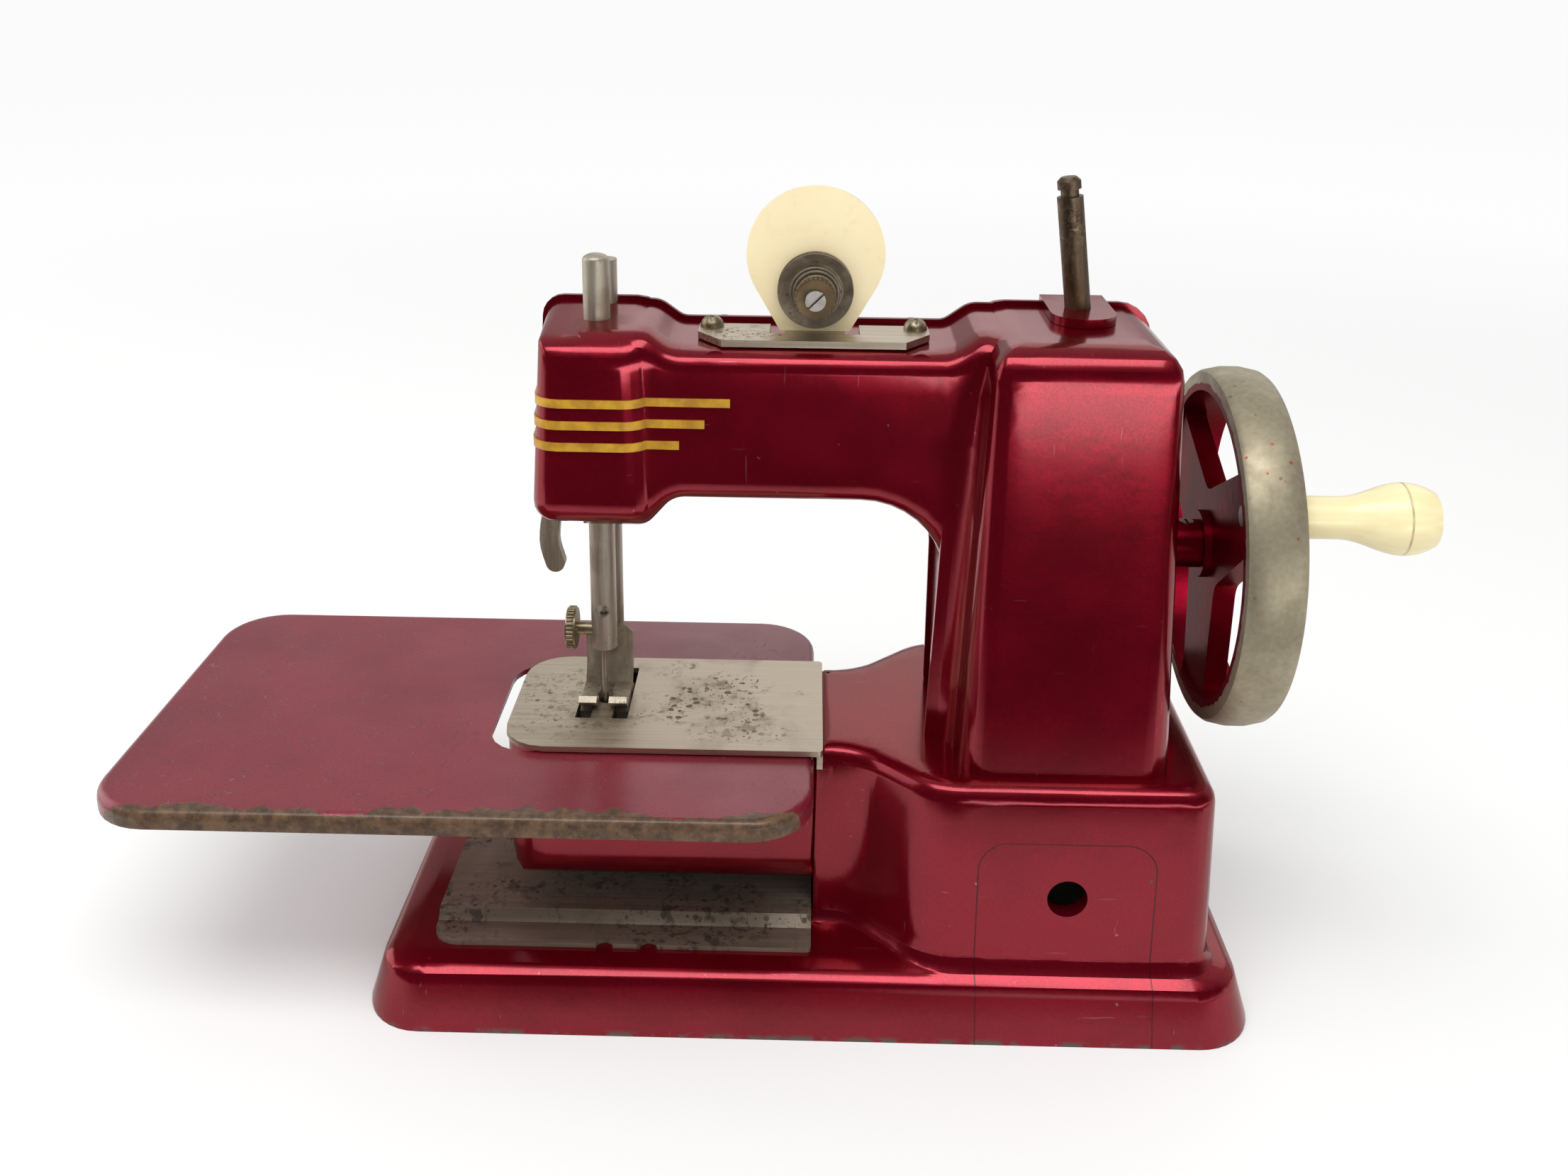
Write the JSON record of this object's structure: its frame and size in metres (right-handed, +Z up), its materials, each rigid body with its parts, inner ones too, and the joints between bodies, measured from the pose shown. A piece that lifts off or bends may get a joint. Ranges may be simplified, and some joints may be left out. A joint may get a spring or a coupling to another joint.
{
  "type": "toy sewing machine",
  "caption": "Hand-cranked toy sewing machine with a red die-cast body, free arm, slide-on table, spoked hand wheel and thread tension unit.",
  "frame": {"origin": "middle of the base foot's underside, on the surface it stands on", "axes": "+X to the hand wheel, +Y to the back, +Z up"},
  "size_m": [0.2573, 0.088, 0.1673],
  "materials": {
    "red_lacquer": "glossy metallic ruby lacquer on die casting, small chips",
    "table_lacquer": "dull ruby lacquer on pressed sheet, front edge worn to brown metal",
    "plate_steel": "satin steel with dark pits",
    "bar_steel": "turned steel, lightly tarnished",
    "screw_steel": "plain steel",
    "dark_steel": "tarnished brown-grey steel",
    "brass_parts": "dull brass",
    "zinc_casting": "dull grey cast rim, dark red inside and on the spokes",
    "ivory_plastic": "aged cream plastic",
    "gold_paint": "gold paint on raised lines"
  },
  "bodies": {
    "frame": {"base_casting": "red_lacquer", "base_cover_plate": "plate_steel", "free_arm": "red_lacquer", "free_arm_screws": "screw_steel", "needle_plate": "plate_steel", "front_casing": "red_lacquer", "rear_casing": "red_lacquer", "casing_screws": "screw_steel", "body_screws": "screw_steel", "gold_stripes": "gold_paint", "spool_pin": "dark_steel", "tension_bracket": "plate_steel", "bracket_screws": "brass_parts", "thread_guide": "ivory_plastic", "tension_stud": "screw_steel", "tension_washers": "dark_steel", "tension_spring": "dark_steel", "shaft_bush": "brass_parts", "idler_pin": "screw_steel", "rocker_pin": "screw_steel", "lifter_pin": "screw_steel", "looper_bushes": "brass_parts", "presser_spring": "screw_steel"},
    "table": {"extension_table": "table_lacquer"},
    "wheel": {"hand_wheel": "zinc_casting", "wheel_screw": "screw_steel", "main_shaft": "screw_steel", "drive_gear": "brass_parts", "crank_disc": "screw_steel", "handle_pin": "screw_steel"},
    "handle": {"crank_handle": "ivory_plastic"},
    "idler": {"idler_gear": "brass_parts"},
    "looper_unit": {"looper_shaft": "screw_steel", "looper_gear": "brass_parts", "looper": "screw_steel"},
    "rocker": {"rocker_beam": "dark_steel"},
    "needle_unit": {"needle_bar": "bar_steel", "needle": "screw_steel"},
    "needle_clamp": {"needle_screw": "brass_parts"},
    "presser_unit": {"presser_bar": "bar_steel", "presser_collar": "dark_steel", "presser_foot": "bar_steel", "presser_screw": "screw_steel"},
    "lifter": {"presser_lifter": "bar_steel"},
    "feed": {"feed_dog": "dark_steel"},
    "nut": {"tension_nut": "brass_parts"}
  },
  "joints": [
    {"name": "wheel_spin", "type": "hinge", "parent": "frame", "child": "wheel", "pos_m": [0.07, 0, 0.0915], "axis": [1, 0, 0], "continuous": true},
    {"name": "handle_spin", "type": "hinge", "parent": "wheel", "child": "handle", "pos_m": [0.1, -0.02348, 0.10675], "axis": [1, 0, 0], "continuous": true},
    {"name": "idler_spin", "type": "hinge", "parent": "frame", "child": "idler", "pos_m": [0.057, 0, 0.064], "axis": [1, 0, 0], "continuous": true},
    {"name": "looper_spin", "type": "hinge", "parent": "frame", "child": "looper_unit", "pos_m": [0, 0, 0.0365], "axis": [1, 0, 0], "continuous": true},
    {"name": "rocker_swing", "type": "hinge", "parent": "frame", "child": "rocker", "pos_m": [0, 0, 0.119], "axis": [0, -1, 0], "range_deg": [-10.5, 9]},
    {"name": "needle_slide", "type": "slide", "parent": "frame", "child": "needle_unit", "axis": [0, 0, 1], "range_m": [-0.0072, 0.0084]},
    {"name": "needle_clamp_turn", "type": "hinge", "parent": "needle_unit", "child": "needle_clamp", "pos_m": [-0.05, 0, 0.0695], "axis": [-1, 0, 0], "continuous": true},
    {"name": "lifter_swing", "type": "hinge", "parent": "frame", "child": "lifter", "pos_m": [-0.0465, 0.0165, 0.1055], "axis": [0, 1, 0], "range_deg": [0, 64]},
    {"name": "presser_slide", "type": "slide", "parent": "frame", "child": "presser_unit", "axis": [0, 0, 1], "range_m": [0, 0.004], "deforming": ["presser_spring"]},
    {"name": "feed_slide", "type": "slide", "parent": "frame", "child": "feed", "axis": [0, 1, 0], "range_m": [-0.0025, 0.0025]},
    {"name": "nut_turn", "type": "hinge", "parent": "frame", "child": "nut", "pos_m": [-0.0007, -0.009, 0.1447], "axis": [0, -1, 0], "continuous": true},
    {"name": "table_slide", "type": "slide", "parent": "frame", "child": "table", "axis": [-1, 0, 0], "range_m": [0, 0.1]}
  ],
  "couplings": [
    {"joint": "idler_spin", "follows": "wheel_spin", "ratio": -0.83333},
    {"joint": "looper_spin", "follows": "wheel_spin", "ratio": 1},
    {"joint": "needle_slide", "follows": "rocker_swing", "m_per_rad": -0.0445},
    {"joint": "lifter_swing", "follows": "presser_slide", "rad_per_m": 261.8}
  ]
}
